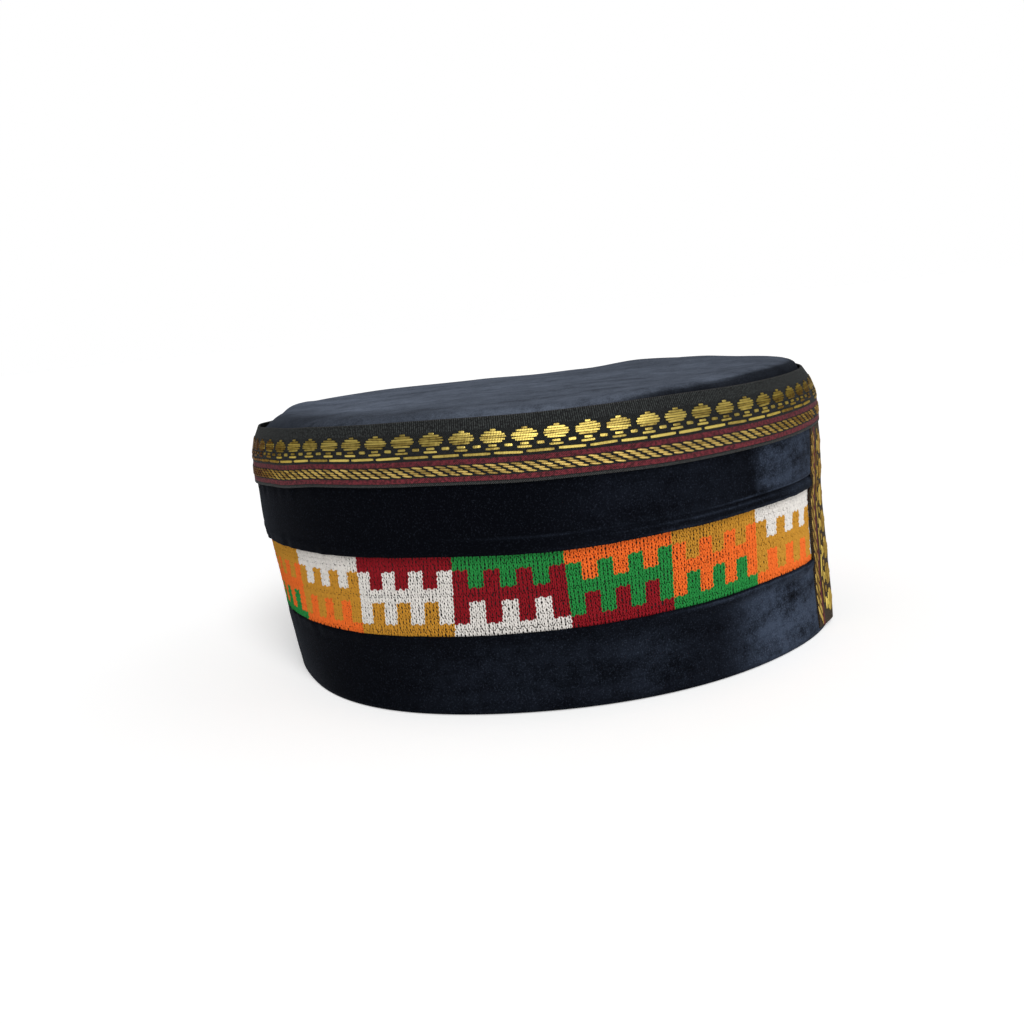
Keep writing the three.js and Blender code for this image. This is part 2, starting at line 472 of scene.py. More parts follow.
def velvetMaterial(name, napLight):
    look, glintSpots, relief = velvetCloth, velvetCloth["glintSpots"], velvetCloth["relief"]
    bench = materialBench(name)
    place = bench.place()
    along, up = bench.cloth()
    cloud = bench.noise(place, **look["clouds"])
    blot = bench.noise(place, **look["blots"])
    stroked = bench.stretched(bench.clothPlace(), napLight["strokeScale"], napLight["strokeTurn"])
    stroke = bench.noise(stroked, **look["strokes"])
    pile = bench.noise(place, **look["tips"])
    rows = along.wave(look["pileGrid"]) * up.wave(look["pileGrid"])
    uneven = cloud * napLight["cloud"] + stroke * napLight["stroke"] + blot * napLight["blot"] + pile * napLight["grain"]
    # painted light: the nap's lighter colour, which stands in for its sheen, where the painted
    # attribute asks for it
    napAndPaintedLight = bench.painted("napAndPaintedLight") * uneven.ramp(napLight["dark"], napLight["light"])
    base = bench.colour(napAndPaintedLight, look["pile"], napLight["colour"])
    # painted glints of the pile tips
    glint = (pile + rows * glintSpots["rows"]).ramp(glintSpots["from"], glintSpots["to"])
    glint = glint * (napAndPaintedLight * glintSpots["napAndPaintedLight"] + glintSpots["dark"])
    height = pile + rows * relief["rows"] + cloud * relief["cloud"]
    return bench.finish(
        Base_Color=bench.colour(glint, base, look["glint"]),
        Roughness=1 - napAndPaintedLight * look["brushedGloss"],
        Normal=bench.bump(height, relief),
        Specular_IOR_Level=look["specular"],
        Sheen_Weight=look["sheen"],
        Sheen_Roughness=look["sheenRoughness"],
        Sheen_Tint=look["sheenTint"],
    )


def napLightPatches(points, patches):  # where the nap is stroked the light way with its sheen painted in, and where highlights are painted along folds, from 0 to 1
    height, angle = points[:, 2], aroundAxis(points)[1]
    total = np.zeros(len(points))
    for patch in patches:
        half, soft, fade = patch["wide"] / 2, patch["soft"], patch["fade"]
        across = turnApart(angle, patch["angle"])
        inside = eased((half + across) / soft) * eased((half - across) / soft)
        inside *= eased((height - patch["foot"]) / fade) * eased((patch["top"] - height) / fade)
        total = np.maximum(total, patch["strength"] * inside)
    return total


puckerCounts = (len(velvetCloth["puckerLines"]), len(velvetCloth["puckerTurns"]))
puckerPhases = rng.uniform(0, 2 * math.pi, puckerCounts)


def puckers(angle, height):  # cloth drawn in by its seams
    look, total = velvetCloth, np.zeros_like(angle)
    for line, phases in zip(look["puckerLines"], puckerPhases):
        near = np.exp(-((height - wallShape[line]) / look["puckerFade"]) ** 2)
        for turns, phase in zip(look["puckerTurns"], phases):
            total += look["pucker"] * near * np.sin(np.radians(angle) * turns + phase)
    return total


wallNapLight = {  # painted light: how the wall's pile is painted lighter where its nap is brushed and its sheen catches the light
    "colour": rgb(56, 65, 81),
    "strokeTurn": 0,
    "strokeScale": (0.035, 0.16, 1),
    "cloud": 0.7,
    "stroke": 1.0,
    "blot": 0.7,
    "grain": 0.7,
    "dark": 1.1,  # below this it lies the dark way, with no painted light
    "light": 1.88,
}
wallVelvet = velvetMaterial("blue_black_velvet", wallNapLight)


def sewVelvetStrip(name, node, strip):
    section = softSection(strip["section"], strip["step"], strip["folds"])
    piece = turnedWall(name, section, strip["around"])
    wrapUv(piece, wallShape["clothRadius"])
    points = meshPoints(piece)
    # the nap's painted light and sheen, and painted highlights along the folds
    writeShade(piece, "napAndPaintedLight", napLightPatches(points, strip["napAndPaintedLight"]))
    radius, angle = aroundAxis(points)
    out = puckers(angle, points[:, 2]) + pushedOut(strip["creases"], angle, points[:, 2])
    out[radius < strip["faceFrom"]] = 0  # the inside stays plain
    points[:, :2] *= (1 + out / radius)[:, None]
    movePoints(piece, settle(points))
    placePiece(piece, wallVelvet, "velvet", node)


# Lower strip of the wall, with its hem on the floor
lowerStrip = {
    "flat": (0.592, 0.027),
    "sewnTo": ["embroidered_band"],
    "around": 480,
    "step": 1.2,
    "folds": {"radius": 94, "from": 19, "to": 24.5, "closer": 2.4},
    "faceFrom": 92.9,
    "section": table(
        "radius height",
        (91.0, 0.0), (93.1, 0.0), (93.15, 0.7), (93.2, 4), (93.75, 12), (94.4, 19),
        (94.6, 20.8), (95.15, 22.4), (95.25, 24.2), (94.3, 24.0), (93.0, 23.4), (92.4, 20),
        (91.5, 12), (91.0, 3),
    ),
    "creases": table(
        "angle height out spread fade",
        (36, 23, -0.8, 22, 2.2),
        (160, 20.4, -0.3, 22, 0.9),
        (100, 20.2, -0.2, 30, 0.9),
        (250, 20.4, -0.3, 40, 0.9),
    ),
    # nap stroked the light way with its sheen painted in; the thin row along the top edge is a painted
    # highlight
    "napAndPaintedLight": table(
        "angle wide soft foot top fade strength",
        (164, 30, 3, 0, 22, 1.2, 1.2),
        (158, 40, 4, 22.9, 23.4, 0.12, 1.2),
        (128, 14, 2.4, 1, 20, 2, 0.3),
        (118, 60, 6, 0, 22, 3, 0.16),
        (228, 44, 4, 1, 22, 2, 0.7),
        (318, 52, 5, 1, 22, 2, 0.5),
    ),
}
sewVelvetStrip("velvet_lower_band", "lower_band", lowerStrip)
print("lower strip sewn")

# Upper strip of the wall, with a rolled tuck over the embroidery
upperStrip = {
    "flat": (0.605, 0.04),
    "sewnTo": ["embroidered_band", "crown"],
    "around": 480,
    "step": 1.2,
    "folds": {"radius": 95.5, "from": 46, "to": 55, "closer": 3.5},
    "faceFrom": 95.2,
    "section": table(
        "radius height",
        (94.2, 48.2), (95.4, 48.0), (95.9, 46.9), (96.6, 46.9), (96.85, 48.5), (96.7, 49.7),
        (96.25, 50.4), (96.35, 51.2), (96.5, 53), (96.5, 66), (96.4, 76), (95.5, 81.3),
        (93.4, 81.3), (94.2, 75), (94.3, 60), (94.1, 50),
    ),
    "creases": table(
        "angle height out spread fade",
        (158, 50.4, -0.7, 26, 0.6),
        (128, 50.8, -0.35, 9, 0.5),
        (141, 49.2, -0.3, 7, 0.5),
        (152, 51.9, -0.3, 6, 0.5),
        (166, 51.6, 0.25, 12, 0.6),
        (164, 48.9, -0.35, 8, 0.5),
        (110, 51.4, -0.25, 12, 0.6),
        (38, 48.3, -0.5, 26, 1.5),
        (38, 50.5, 0.3, 26, 0.7),
        (240, 51, -0.4, 40, 0.9),
        (330, 51.6, -0.3, 36, 0.9),
    ),
    # nap stroked the light way with its sheen painted in; the narrow rows on the tuck are painted
    # highlights along its folds
    "napAndPaintedLight": table(
        "angle wide soft foot top fade strength",
        (168, 29, 0.7, 51.4, 70, 0.4, 0.82),
        (172, 20, 3, 48.2, 50.4, 0.4, 0.5),
        (164, 32, 4, 51.0, 51.5, 0.12, 1.5),
        (130, 46, 5, 51.1, 51.7, 0.12, 0.2),
        (146, 38, 4, 49.4, 49.9, 0.12, 0.5),
        (150, 56, 5, 47, 47.9, 0.2, 0.3),
        (136, 34, 3, 47, 70, 2, 0.1),
        (220, 40, 3, 48, 70, 1, 0.75),
        (305, 56, 5, 48, 70, 2, 0.45),
    ),
}
sewVelvetStrip("velvet_upper_band", "upper_band", upperStrip)
print("upper strip sewn")

# Crown, lightly padded, with a rolled edge inside the ribbon
crownTop = {
    "flat": (0.198, 0.198),
    "cutArea": 0.0305,
    "around": 320,
    "flatRings": 40,
    "thickness": 2.2,
    "roll": table(  # from its hidden foot inwards
        "radius height",
        (94.1, 80.9), (93.4, 81.8), (93.5, 83.0), (93.4, 84.0), (92.9, 84.8), (92.0, 85.4),
        (90.8, 85.8), (89.2, 86.05), (87.0, 86.2),
    ),
    "middleHeight": 86.7,
    "stillBelow": 81.8,  # the sewn foot keeps its place
    "freeFrom": 84.3,
    "edge": table(  # the top's rise towards its edge, the edge's fall, and how far out the nap is painted light; the roll beyond is painted in shade
        "angle lift sink stroked",
        (0, 1.4, 0, 93),
        (9, 2.4, 0.2, 93),
        (20, 1.3, 1.4, 94),
        (30, 0.7, 2.3, 94),
        (52, 0.6, 1.6, 95),
        (80, 0.1, 0.4, 95),
        (118, 0, 0, 94.5),
        (140, 0.7, 0, 92),
        (165, 1.5, 0, 91),
        (190, 1.3, 0, 91),
        (230, 0.9, 0, 92),
        (258, 1.8, 0, 93),
        (276, -0.1, 0, 93),
        (289, -0.5, 0, 93),
        (306, 0.1, 0, 93),
        (340, 1.2, 0, 93),
        (360, 1.4, 0, 93),
    ),
    "liftFrom": 50,  # radius where the rise begins
    "sinkFrom": 84,
    "sinkTo": 92,
    "calmEdge": 12,  # the swells fade over this much before the roll
    "swells": table(
        "x y rise reach",
        (-57, -18, -0.8, 26),
        (-56, 52, 1.8, 34),
        (8, 10, -0.5, 30),
    ),
    # painted light: the crown's nap is painted lighter than the wall's, for its top lit from above and
    # its sheen
    "napLight": {
        "colour": rgb(106, 115, 131),
        "strokeTurn": -112,  # stroked across the cap
        "strokeScale": (0.03, 0.1, 1),
        "cloud": 0.6,
        "stroke": 0.6,
        "blot": 0.5,
        "grain": 0.8,
        "dark": 0.6,
        "light": 1.8,
    },
    "lightSide": {"angle": 22, "middle": 1.07, "gain": 0.13},  # the nap's painted light is stronger towards this side
    "strokes": table(  # where a hand has stroked it lighter or darker, painted as nap light; the last row is a painted highlight by the roll
        "x y gain reach",
        (50, -40, 0.26, 18),
        (40, -13, 0.2, 13),
        (8, 4, 0.2, 18),
        (62, 8, -0.24, 17),
        (38, 12, -0.15, 12),
        (-45, 26, -0.2, 16),
        (40, 79, 0.25, 12),
    ),
    "edgeShade": table(  # painted shade: share of the nap's painted light that is taken away towards its edge
        "angle loss",
        (0, 0), (24, 0.35), (42, 0.75), (62, 0.72), (78, 0.5), (90, 0.55), (102, 0.08),
        (360, 0),
    ),
    "lossFrom": 70,  # radius where that begins
    "rollLight": 0.1,  # painted shade: the share of the nap's painted light that the roll keeps
    "napEdge": 1 / 3,  # how softly the painted light of the nap ends at the roll
}


def mounds(rows, points, column):  # round rises, each fading over its reach
    total = np.zeros(len(points))
    for row in rows:
        apart = (points[:, 0] - row["x"]) ** 2 + (points[:, 1] - row["y"]) ** 2
        total += row[column] * np.exp(-apart / row["reach"] ** 2)
    return total


def shapeCrown(piece, rollRadius):
    look, points = crownTop, meshPoints(piece)
    spread, angle = aroundAxis(points)
    above = partWay(points[:, 2], look["stillBelow"], look["freeFrom"])
    rise = partWay(spread, look["liftFrom"], rollRadius) ** 2
    fall = partWay(spread, look["sinkFrom"], look["sinkTo"]) ** 2
    calm = partWay(spread, rollRadius, rollRadius - look["calmEdge"])
    points[:, 2] += above * rise * lookUp(look["edge"], angle, "lift")
    points[:, 2] -= above * fall * lookUp(look["edge"], angle, "sink")
    points[:, 2] += calm * mounds(look["swells"], points, "rise")
    movePoints(piece, points)


def crownLight(points, rollRadius):  # where the crown's nap is painted light with its sheen, and where its roll is painted in shade
    look, side = crownTop, crownTop["lightSide"]
    spread, angle = aroundAxis(points)
    turn = math.radians(side["angle"])
    towards = (points[:, 0] * math.sin(turn) - points[:, 1] * math.cos(turn)) / rollRadius
    light = side["middle"] + side["gain"] * towards + mounds(look["strokes"], points, "gain")
    loss = lookUp(look["edgeShade"], angle, "loss")
    light *= 1 - loss * partWay(spread, look["lossFrom"], rollRadius)
    stroked = lookUp(look["edge"], angle, "stroked")
    inside = eased((stroked - spread) / look["napEdge"])
    return light * (look["rollLight"] + (1 - look["rollLight"]) * inside)


def sewCrown():
    look = crownTop
    rounds = [(row["radius"], row["height"]) for row in look["roll"]]
    rollRadius, rollHeight = rounds[-1]
    for ring in range(1, look["flatRings"]):
        share = 1 - ring / look["flatRings"]
        height = rollHeight + (look["middleHeight"] - rollHeight) * (1 - share**2)
        rounds.append((rollRadius * share, height))
    piece = raiseRings("velvet_crown", rounds, look["around"])
    bpy.ops.mesh.edge_face_add()  # closes the middle
    bpy.ops.mesh.poke()
    closeMesh()
    shapeCrown(piece, rollRadius)
    thicken(piece, look["thickness"])
    bpy.ops.object.shade_smooth()
    points = meshPoints(piece)
    corners = cornerPoints(piece)
    writeUv(piece, points[corners, 0], points[corners, 1])
    # the crown's painted light, and the roll's painted shade
    writeShade(piece, "napAndPaintedLight", crownLight(points, rollRadius))
    movePoints(piece, settle(points))
    placePiece(piece, velvetMaterial("crown_velvet_painted_light", look["napLight"]), "velvet", "crown")
    print("crown sewn")


sewCrown()

# Embroidered strip: a dark ground, which also stands in for the shade between the stitches, under rows
# of small looped stitches in five threads
embroidery = {
    "flat": (0.6, 0.0236),
    "groundOut": -1.1,  # ground face against the line of the velvet face
    "groundThickness": 1.2,
    "groundBelow": 0.2,  # how far it goes under the velvet, at the foot and at the top
    "groundAbove": 0.8,
    "groundRings": 12,
    "around": 360,
    "middleHeight": 35,  # lengths along the stitches are measured here
    # near black, so that in the gaps between the stitches it also stands in for their shade
    "groundWeave": {
        "dark": rgb(10, 9, 9),
        "light": rgb(30, 24, 22),
        "along": 0.6,
        "up": 0.9,
        "roughness": 0.95,
        "relief": {"strength": 0.4, "depth": 0.2},
    },
    "rowPitch": 1.272,
    "rowsFrom": 23.7,
    "rows": [3, 5, 3, 4, 3],  # stitch rows from the foot: strip, teeth, bar, teeth, strip
    "hiddenRows": 3,  # under the tuck
    "hiddenFoot": 0.3,  # rows that begin lower than this are left out
    "slip": table(  # where the rows run down
        "angle down",
        (10, 0), (38, 1.6), (60, 1.1), (76, 0.6), (92, 0), (148, 0), (164, 1.1), (174, 1.8),
    ),
    "stagger": 0.36,  # of a row, up and down by turns
    "edgeStagger": 0.14,  # the same where two colours meet
    "columns": 7,  # of a block; the odd ones are teeth
    "loopsPerColumn": 4,
    "blockEdges": table(  # where each block begins, at its foot and at its top
        "block foot top",
        (-3, 56.6, 57.6), (-2, 74.8, 76.6), (-1, 94.3, 96.0), (0, 114.75, 114.9),
        (1, 133.0, 133.8), (2, 152.0, 152.9), (3, 173.6, 175.7),
    ),
    "blockDegrees": 19.2,  # away from those
    "cycle": ["green", "orange", "gold", "white", "maroon"],
    "stitch": {
        "outline": [(0, 1), (-1, 0), (0, -1), (1, 0)],
        "stations": [-0.6, 0, 0.6],
        "swell": [0.95, 1, 0.95],
        "tipShade": 0.6,
        "soft": 180,
    },
    "legApart": 0.1,  # each leg of a loop from its middle line, at the ends
    "legBow": 0.375,  # and how far it bows out between them
    "halfLength": 0.92,
    "halfWidth": 0.285,
    "fullness": table(  # the rows are packed closer towards the back seam
        "angle wide",
        (-180, 1.2), (20, 1), (44, 0.7), (60, 0.82), (78, 0.96), (140, 1.08), (158, 1.28),
        (180, 1.38),
    ),
    "lengthShare": 0.35,  # how much of that goes into their length
    "halfHeight": 0.32,
    "lift": 0.2,
    "uneven": {  # how much the stitches differ
        "tilt": 0.1, "shift": 0.06, "length": (0.94, 1.06), "width": (0.9, 1.1),
        "height": (0.85, 1.15), "lift": (0.6, 1.4), "bow": (0.75, 1.2), "shade": (0.8, 1.08),
    },
    "threadLook": {
        "deep": 0.3, "light": 1.12,  # shares of the thread's own colour; the deep share shows the painted shade at the tips, and darker fibres
        "deepTo": 0.1, "lightFrom": 1.05,
        "fibreScale": 2600, "fibreShade": 0.3,
        "roughness": 0.6, "roughVaries": 0.25, "specular": 0.12,
        "relief": {"strength": 0.3, "depth": 0.08},
    },
    "threads": {
        "green": rgb(33, 125, 58),
        "orange": rgb(217, 102, 38),
        "gold": rgb(180, 129, 43),
        "white": rgb(207, 203, 198),
        "maroon": rgb(128, 18, 28),
    },
}


def weaveFace(height):
    shape = wallShape
    foot, top = float(wallRadius(shape["weaveFoot"])), float(wallRadius(shape["weaveTop"]))
    share = (height - shape["weaveFoot"]) / (shape["weaveTop"] - shape["weaveFoot"])
    return foot + (top - foot) * share


def groundMaterial():
    look = embroidery["groundWeave"]
    bench = materialBench("embroidery_ground")
    along, up = bench.cloth()
    weave = along.wave(look["along"]) * up.wave(look["up"])
    return bench.finish(
        Base_Color=bench.colour(weave.ramp(-1, 1), look["dark"], look["light"]),
        Roughness=look["roughness"],
        Normal=bench.bump(weave, look["relief"]),
    )


def threadMaterial(colour):
    look, tone = embroidery["threadLook"], embroidery["threads"][colour][:3]
    bench = materialBench(colour + "_thread")
    deep = [c * look["deep"] for c in tone] + [1]
    light = [min(1, c * look["light"]) for c in tone] + [1]
    fibre = bench.noise(bench.place(), look["fibreScale"])
    shade = bench.painted("shade") + (fibre - 0.5) * look["fibreShade"]
    return bench.finish(
        Base_Color=bench.colour(shade.ramp(look["deepTo"], look["lightFrom"]), deep, light),
        Roughness=look["roughness"] + fibre * look["roughVaries"],
        Normal=bench.bump(fibre, look["relief"]),
        Specular_IOR_Level=look["specular"],
    )


def blockAngles(turn, up):  # angle of a place counted in blocks, at a share of the height
    look = embroidery
    edges, first, last = look["blockEdges"], look["blockEdges"][0], look["blockEdges"][-1]
    sides = []
    for side in ("foot", "top"):
        inside = lookUp(edges, turn, side, False)
        before = np.minimum(turn - first["block"], 0) * look["blockDegrees"]
        after = np.maximum(turn - last["block"], 0) * look["blockDegrees"]
        sides.append(inside + before + after)
    return sides[0] * (1 - up) + sides[1] * up


def chartThread(block, column, row):  # which thread the comb pattern calls for
    strip, teeth, bar, upperTeeth, _ = np.cumsum(embroidery["rows"])
    tooth = column % 2 == 1
    fromBelow = (row < strip) | (tooth & (row < teeth))
    fromAbove = (row >= upperTeeth) | (tooth & (row >= bar))
    return (block + fromAbove.astype(int) - fromBelow.astype(int)) % len(embroidery["cycle"])


def sewGround():
    look, shape = embroidery, wallShape
    foot, top = shape["weaveFoot"] - look["groundBelow"], shape["weaveTop"] + look["groundAbove"]
    heights = np.linspace(foot, top, look["groundRings"])
    face = [(float(weaveFace(h)) + look["groundOut"], float(h)) for h in heights]
    section = face + [(radius - look["groundThickness"], height) for radius, height in reversed(face)]
    ground = turnedWall("embroidered_ground", section, look["around"])
    wrapUv(ground, shape["clothRadius"])
    movePoints(ground, settle(meshPoints(ground)))
    return placePiece(ground, groundMaterial(), "embroidery", "embroidered_band")


def chartStitches():  # the place, side and thread of both legs of each loop
    look, shape = embroidery, wallShape
    perBlock = look["columns"] * look["loopsPerColumn"]
    first, last = look["blockEdges"][0], look["blockEdges"][-1]
    start = first["block"] - (first["foot"] + 180) / look["blockDegrees"]  # the cut at the back seam
    end = last["block"] + (180 - last["top"]) / look["blockDegrees"]
    loops = np.arange(math.ceil(start * perBlock), math.floor(end * perBlock))
    rowCount = sum(look["rows"]) + look["hiddenRows"]
    loop, row, side = (grid.ravel() for grid in np.meshgrid(loops, np.arange(rowCount), [-1, 1]))
    chosen = chartThread(loop // perBlock, (loop % perBlock) // look["loopsPerColumn"], row)
    edges = np.cumsum([0] + look["rows"])[:-1]
    meeting = np.isin(row, np.concatenate([edges - 1, edges]))
    stagger = np.where(meeting, look["edgeStagger"], look["stagger"])
    level = row + 0.5 + np.where(loop % 2 == 0, -1, 1) * stagger
    angle = blockAngles((loop + 0.5) / perBlock, level / sum(look["rows"]))
    slip = lookUp(look["slip"], angle, "down")
    height = look["rowsFrom"] + look["rowPitch"] * level - slip
    even = height + look["rowPitch"] * (row + 0.5 - level)  # without the stagger
    shown = even > shape["weaveFoot"] - look["hiddenFoot"]
    shown &= even < shape["weaveTop"] + look["rowPitch"]
    return angle, height, side, np.where(shown, chosen, -1)


def varied(limits, count):  # a random share for each
    return rng.uniform(*limits, count)


def sewEmbroidery():
    look, uneven = embroidery, embroidery["uneven"]
    ground = sewGround()
    angle, height, side, chosen = chartStitches()
    count = len(angle)
    girth = 2 * math.pi * float(weaveFace(look["middleHeight"]))
    along = angle / 360 * girth + side * look["legApart"]
    fullness = lookUp(look["fullness"], angle, "wide")
    longer = 1 + look["lengthShare"] * (fullness - 1)
    tilt = rng.normal(0, uneven["tilt"], count)
    threads = {
        "middle": np.stack([along, height], axis=1),
        "direction": np.stack([tilt, np.ones(count)], axis=1) / np.hypot(tilt, 1)[:, None],
        "halfLength": look["halfLength"] * longer * varied(uneven["length"], count),
        "halfWidth": look["halfWidth"] * fullness * varied(uneven["width"], count),
        "halfHeight": look["halfHeight"] * varied(uneven["height"], count),
        "lift": look["lift"] * varied(uneven["lift"], count),
        "bow": -side * look["legBow"] * varied(uneven["bow"], count),
        "shade": varied(uneven["shade"], count),
    }
    threads["middle"] += rng.normal(0, uneven["shift"], (count, 2))

    def sewn(along, up, out):
        return onWall(along * 360 / girth, up, out + look["groundOut"], weaveFace)

    for number, colour in enumerate(look["cycle"]):
        own = {key: values[chosen == number] for key, values in threads.items()}
        piece = joinedThreads(colour + "_stitches", own, look["stitch"], sewn)
        placePiece(piece, threadMaterial(colour), "embroidery")
    print("embroidery sewn,", (chosen >= 0).sum() // 2, "loops")


sewEmbroidery()

# Ribbon: woven ground with raised gold floats, round the top and down the back seam
ribbonCloth = {
    "thickness": 0.75,
    "out": 0.2,  # back of the ribbon off the velvet
    "ground": rgb(9, 10, 11),
    "groundFleck": rgb(55, 59, 58),
    "motifGround": 0.5,  # the ground is darker by this share round the motifs
    "maroon": rgb(124, 45, 54),
    "maroonDark": rgb(44, 14, 20),
    "selvedge": rgb(77, 78, 77),
    "gold": rgb(214, 192, 104),
    "paleGold": rgb(208, 180, 104),
    "goldShade": rgb(84, 58, 24),
    "goldGlance": rgb(168, 138, 92),  # seen along the surface
    "ribbedTo": 3.4,  # from the top edge, as all places across the ribbon
    "maroonStripes": [(11.55, 12.95, 0.85), (16.4, 17.75, 0.95)],  # from, to and how full the colour is
    "selvedges": [(-0.5, 0.3), (18.05, 18.9)],
    "motifPitch": 8.55,
    "motif": table(  # rows of gold floats, from the top edge
        "from length thick",
        (3.95, 1.6, 0.62), (4.6, 4.8, 0.62), (5.24, 6.7, 0.62), (5.88, 7.2, 0.62),
        (6.52, 6.8, 0.62), (7.16, 5.2, 0.62), (8.2, 2.3, 0.74), (9.1, 3.9, 0.7),
    ),
    "motifSkew": 0.13,  # the motif leans by this much along for each step across
    "dash": {"from": 8.3, "length": 2.1, "thick": 0.9},
    "line": {"from": 10.42, "gap": 0.95, "thick": 0.84},
    "rope": {
        "from": [13.5, 14.22, 14.94, 15.66],
        "pitch": 3.45,
        "step": 0.36,  # of a pitch, from row to row
        "gap": 0.4,
        "slant": 0.14,
        "thick": 0.62,
    },
    "float": {  # flat-topped, with blunt ends
        "tone": "gold",
        "outline": [(1, 0), (0.78, 1), (-0.78, 1), (-1, 0), (-0.78, -1), (0.78, -1)],
        "stations": [-0.98, -0.7, 0.7, 0.98],
        "swell": [0.75, 1, 1, 0.75],
        "tipShade": 0.8,
        "soft": 40,
    },
    "strand": {  # of the rope, with tapered ends
        "tone": "paleGold",
        "outline": [(1, 0), (0.7, 1), (-0.7, 1), (-1, 0), (-0.7, -1), (0.7, -1)],
        "stations": [-0.96, -0.5, 0.5, 0.96],
        "swell": [0.45, 1, 1, 0.45],
        "tipShade": 0.7,
        "soft": 40,
    },
    "floatHeight": 0.15,
    "floatLift": 0.08,
    "uneven": {  # how much the floats differ
        "slant": 0.02, "length": (0.95, 1.03), "width": (0.94, 1.04),
        "height": (0.9, 1.1), "shade": (0.6, 1.15),
    },
    "weave": {
        "warp": 0.62,
        "weft": 0.5,
        "ribbedFade": 0.4,
        "flecks": {"scale": 2300, "roughness": 0.7},
        "tufts": {"scale": 1200, "roughness": 0.7},
        "ground": {"weave": 0.45, "grain": 1.9, "from": 0.8, "to": 1.4},
        "maroon": {"weave": 0.3, "grain": 1.4, "from": 0.48, "to": 0.98},
        "selvedge": {"weave": 0.5, "grain": 1, "from": 0.25, "to": 1.1},
        "roughness": 0.8,
        "specular": 0.2,
        "relief": {"fleck": 0.6, "strength": 0.6, "depth": 0.16},
    },
    "goldThread": {
        "ribs": 0.42,
        "strandScale": 900,
        "tone": {"shade": 0.8, "strand": 0.5, "ribs": 0.06, "from": 0.4, "to": 1.2},
        "metallic": 0.9,
        "roughness": 0.25,
        "roughVaries": 0.2,
        "relief": {"strength": 0.25, "depth": 0.05},
    },
}


def ribbonGroundMaterial(name, ground, groundFleck):
    look, rule = ribbonCloth, ribbonCloth["weave"]
    bench = materialBench(name)
    along, across = bench.cloth()
    ribbed = across.ramp(look["ribbedTo"], look["ribbedTo"] + rule["ribbedFade"])
    fleck = bench.noise(bench.place(), **rule["flecks"])
    tuft = bench.noise(bench.place(), **rule["tufts"])
    weave = along.wave(rule["warp"]) * (across.wave(rule["weft"]) * ribbed + fleck - ribbed * fleck)

    def mixed(kind, grain):
        mix = rule[kind]
        return (weave * mix["weave"] + grain * mix["grain"]).ramp(mix["from"], mix["to"])

    flecked = mixed("ground", fleck) * (1 - ribbed * look["motifGround"])
    base = bench.colour(flecked, ground, groundFleck)
    red = bench.colour(mixed("maroon", tuft), look["maroonDark"], look["maroon"])
    for low, high, full in look["maroonStripes"]:
        base = bench.colour(across.between(low, high) * full, base, red)
    edge = bench.colour(mixed("selvedge", fleck), ground, look["selvedge"])
    for low, high in look["selvedges"]:
        base = bench.colour(across.between(low, high), base, edge)
    return bench.finish(
        Base_Color=base,
        Roughness=rule["roughness"],
        Normal=bench.bump(weave + fleck * rule["relief"]["fleck"], rule["relief"]),
        Specular_IOR_Level=rule["specular"],
    )


def goldMaterial(name, tint):
    look, rule, mix = ribbonCloth, ribbonCloth["goldThread"], ribbonCloth["goldThread"]["tone"]
    bench = materialBench(name)
    along, _ = bench.cloth()
    strand = bench.noise(bench.place(), rule["strandScale"])
    ribs = along.wave(rule["ribs"])
    tone = bench.painted("shade") * mix["shade"] + strand * mix["strand"] + ribs * mix["ribs"]
    return bench.finish(
        Base_Color=bench.colour(tone.ramp(mix["from"], mix["to"]), look["goldShade"], look[tint]),
        Metallic=rule["metallic"],
        Roughness=rule["roughness"] + strand * rule["roughVaries"],
        Specular_Tint=look["goldGlance"],
        Normal=bench.bump(ribs + strand, rule["relief"]),
    )


def withinLength(floats, start, end):
    return np.array([f for f in floats if f[0] - f[2] / 2 > start and f[0] + f[2] / 2 < end])


def ribbonFloats(start, end):  # motifs, dashes and line on a length of ribbon
    look, floats = ribbonCloth, []
    pitch, dash, line = look["motifPitch"], look["dash"], look["line"]
    for number in range(math.ceil(start / pitch), math.floor(end / pitch) + 1):
        rows = [(number, row["from"], row["length"], row["thick"]) for row in look["motif"]]
        rows.append((number + 0.5, dash["from"], dash["length"], dash["thick"]))
        rows.append((number + 0.5, line["from"], pitch - line["gap"], line["thick"]))
        for place, fromTop, length, thick in rows:
            lean = look["motifSkew"] * (look["motif"][0]["from"] - fromTop)
            floats.append((place * pitch + lean, fromTop, length, thick, 0))
    return withinLength(floats, start, end)


def ribbonRope(start, end):  # rows of slanted strands, each laid a step on from the last
    rope, strands = ribbonCloth["rope"], []
    for row, fromTop in enumerate(rope["from"]):
        for number in range(math.ceil(start / rope["pitch"]), math.floor(end / rope["pitch"])):
            place = (number + row * rope["step"]) * rope["pitch"]
            strands.append((place, fromTop, rope["pitch"] - rope["gap"], rope["thick"], rope["slant"]))
    return withinLength(strands, start, end)


def laidFloats(name, floats, form, bright, mapping):
    look, uneven, count = ribbonCloth, ribbonCloth["uneven"], len(floats)
    slant = floats[:, 4] + rng.normal(0, uneven["slant"], count)
    threads = {
        "middle": floats[:, :2],
        "direction": np.stack([np.ones(count), slant], axis=1) / np.hypot(slant, 1)[:, None],
        "halfLength": floats[:, 2] / 2 * varied(uneven["length"], count),
        "halfWidth": floats[:, 3] / 2 * varied(uneven["width"], count),
        "halfHeight": look["floatHeight"] * varied(uneven["height"], count),
        "lift": np.full(count, look["floatLift"]),
        "bow": np.zeros(count),
        # random tone, times the gold's painted shade
        "shade": varied(uneven["shade"], count) * bright,
    }
    piece = joinedThreads(name, threads, look[form], mapping)
    return placePiece(piece, goldThreads[look[form]["tone"]], "ribbon")


